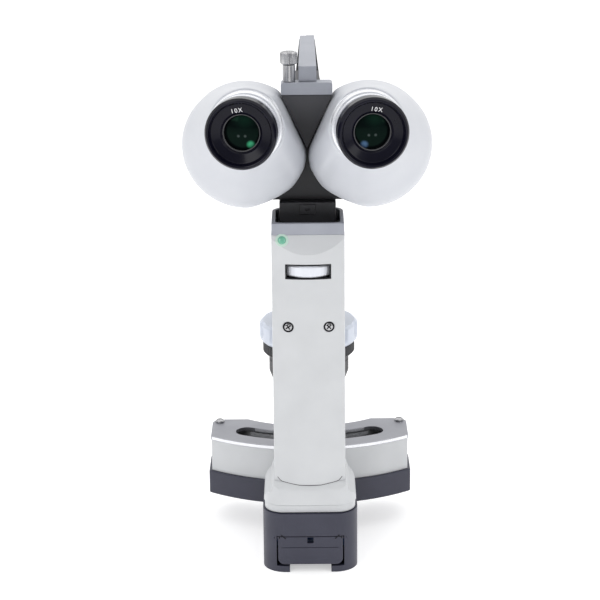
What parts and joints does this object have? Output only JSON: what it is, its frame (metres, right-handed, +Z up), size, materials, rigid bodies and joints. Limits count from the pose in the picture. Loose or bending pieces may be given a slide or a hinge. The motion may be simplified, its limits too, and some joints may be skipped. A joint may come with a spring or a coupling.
{
  "type": "hand-held slit lamp",
  "caption": "Hand-held slit lamp: battery grip on an arc base, swinging illumination column, two prism turrets with eyepieces and a headrest arm.",
  "frame": {"origin": "point of the battery pack's standing face straight below the centre line of the grip", "axes": "+Z up along the grip, +Y from the operator towards the patient, +X to the operator's right"},
  "size_m": [0.1168, 0.1548, 0.2501],
  "materials": {
    "white_plastic": "light grey-white moulded plastic, satin",
    "cover_plastic": "light grey-white painted moulding, smooth",
    "slate_plastic": "dark slate grey moulded plastic, fine texture",
    "black_body": "matt black painted metal",
    "black_plastic": "black plastic",
    "gloss_black": "gloss black",
    "plate_metal": "grey brushed plate",
    "bar_metal": "grey painted metal",
    "bright_metal": "bright turned metal",
    "chrome": "plated",
    "ring_grey": "dark anodised, knurled",
    "knob_white": "cool white plastic",
    "rubber": "black rubber",
    "glass": "coated optical glass",
    "mirror": "front-surface mirror",
    "green_led": "translucent green lens",
    "pcb": "printed circuit board",
    "cell_wrap": "cell sleeve",
    "led_emitter": "light module",
    "nylon": "low-friction slider pads"
  },
  "bodies": {
    "grip": {"foot_shell": "white_plastic", "foot_band": "white_plastic", "arc_housing": "white_plastic", "arc_boot": "slate_plastic", "arc_plate": "plate_metal", "arc_rail": "bright_metal", "plate_screws": "chrome", "handle_shell": "white_plastic", "front_panel": "white_plastic", "panel_screws": "chrome", "head_band": "bar_metal", "window_bezel": "black_plastic", "pilot_led": "green_led", "control_board": "pcb", "dimmer_pot": "bar_metal", "neck_block": "black_body", "scope_body": "black_body", "top_bar": "bar_metal", "objective_cells": "black_body", "objective_lenses": "glass"},
    "turret_left": {"cover_left": "cover_plastic", "prism_frame_left": "black_body", "prism_left": "glass", "eye_tube_left": "bright_metal"},
    "focus_left": {"helicoid_left": "black_body"},
    "ocular_left": {"ocular_barrel_left": "black_body", "diopter_ring_left": "ring_grey", "eyecup_left": "gloss_black", "ocular_lenses_left": "glass"},
    "turret_right": {"cover_right": "cover_plastic", "prism_frame_right": "black_body", "prism_right": "glass", "eye_tube_right": "bright_metal"},
    "focus_right": {"helicoid_right": "black_body"},
    "ocular_right": {"ocular_barrel_right": "black_body", "diopter_ring_right": "ring_grey", "eyecup_right": "gloss_black", "ocular_lenses_right": "glass"},
    "illumination": {"carriage": "bright_metal", "carriage_pads": "nylon", "lamp_housing": "black_body", "lamp_module": "led_emitter", "condenser": "glass", "tower": "black_body", "projection_lens": "glass", "mirror_head": "black_plastic", "mirror": "mirror"},
    "filter_wheel": {"filter_ring": "black_body", "filter_disc": "glass"},
    "slit_dial": {"slit_knob": "knob_white"},
    "jaw_left": {"slit_jaw_left": "bar_metal"},
    "jaw_right": {"slit_jaw_right": "bar_metal"},
    "dimmer_wheel": {"brightness_wheel": "bright_metal"},
    "battery_pack": {"battery_shell": "slate_plastic", "battery_deck": "black_plastic", "battery_cells": "cell_wrap"},
    "battery_latch": {"latch_tab": "slate_plastic"},
    "headrest": {"rest_arm": "bar_metal", "rest_pad": "rubber"},
    "clamp_screw": {"thumb_screw": "chrome"}
  },
  "joints": [
    {"name": "arm_swing", "type": "hinge", "parent": "grip", "child": "illumination", "pos_m": [0, 0.112, 0.045], "axis": [0, 0, 1], "range_deg": [-27, 27]},
    {"name": "pd_left", "type": "hinge", "parent": "grip", "child": "turret_left", "pos_m": [-0.014, 0, 0.2], "axis": [-0.124, -0.9923, 0], "range_deg": [0, 18]},
    {"name": "pd_right", "type": "hinge", "parent": "grip", "child": "turret_right", "pos_m": [0.014, 0, 0.2], "axis": [-0.124, 0.9923, 0], "range_deg": [0, 18]},
    {"name": "diopter_left", "type": "hinge", "parent": "turret_left", "child": "focus_left", "pos_m": [-0.02715, -0.04875, 0.2228], "axis": [-0.124, -0.9923, 0], "range_deg": [-90, 90]},
    {"name": "focus_travel_left", "type": "slide", "parent": "focus_left", "child": "ocular_left", "axis": [-0.124, -0.9923, 0], "range_m": [-0.0019, 0.0019]},
    {"name": "diopter_right", "type": "hinge", "parent": "turret_right", "child": "focus_right", "pos_m": [0.02715, -0.04875, 0.2228], "axis": [0.124, -0.9923, 0], "range_deg": [-90, 90]},
    {"name": "focus_travel_right", "type": "slide", "parent": "focus_right", "child": "ocular_right", "axis": [0.124, -0.9923, 0], "range_m": [-0.0019, 0.0019]},
    {"name": "filter_turn", "type": "hinge", "parent": "illumination", "child": "filter_wheel", "pos_m": [0, 0.043, 0.0945], "axis": [0, 0, 1], "continuous": true},
    {"name": "slit_turn", "type": "hinge", "parent": "illumination", "child": "slit_dial", "pos_m": [0, 0.043, 0.103], "axis": [0, 0, 1], "range_deg": [0, 300]},
    {"name": "jaw_left_travel", "type": "slide", "parent": "illumination", "child": "jaw_left", "axis": [-1, 0, 0], "range_m": [0, 0.0055]},
    {"name": "jaw_right_travel", "type": "slide", "parent": "illumination", "child": "jaw_right", "axis": [1, 0, 0], "range_m": [0, 0.0055]},
    {"name": "dimmer_turn", "type": "hinge", "parent": "grip", "child": "dimmer_wheel", "pos_m": [0, -0.0062, 0.1497], "axis": [0, 0, 1], "range_deg": [-140, 140]},
    {"name": "battery_out", "type": "slide", "parent": "grip", "child": "battery_pack", "axis": [0, 0, -1], "range_m": [0, 0.045]},
    {"name": "latch_press", "type": "hinge", "parent": "battery_pack", "child": "battery_latch", "pos_m": [0, -0.0199, 0.0174], "axis": [1, 0, 0], "range_deg": [0, 6], "stiffness_Nm_per_rad": 0.4},
    {"name": "headrest_reach", "type": "slide", "parent": "grip", "child": "headrest", "axis": [0, 1, 0], "range_m": [-0.01, 0.015]},
    {"name": "clamp_turn", "type": "hinge", "parent": "grip", "child": "clamp_screw", "pos_m": [-0.008, -0.008, 0.2366], "axis": [0, 0, 1], "range_deg": [-180, 180]}
  ],
  "couplings": [
    {"joint": "pd_left", "follows": "pd_right", "ratio": 1},
    {"joint": "focus_travel_left", "follows": "diopter_left", "m_per_rad": 0.0012},
    {"joint": "focus_travel_right", "follows": "diopter_right", "m_per_rad": 0.0012},
    {"joint": "jaw_left_travel", "follows": "slit_turn", "m_per_rad": 0.00099313},
    {"joint": "jaw_right_travel", "follows": "slit_turn", "m_per_rad": 0.00099313}
  ]
}
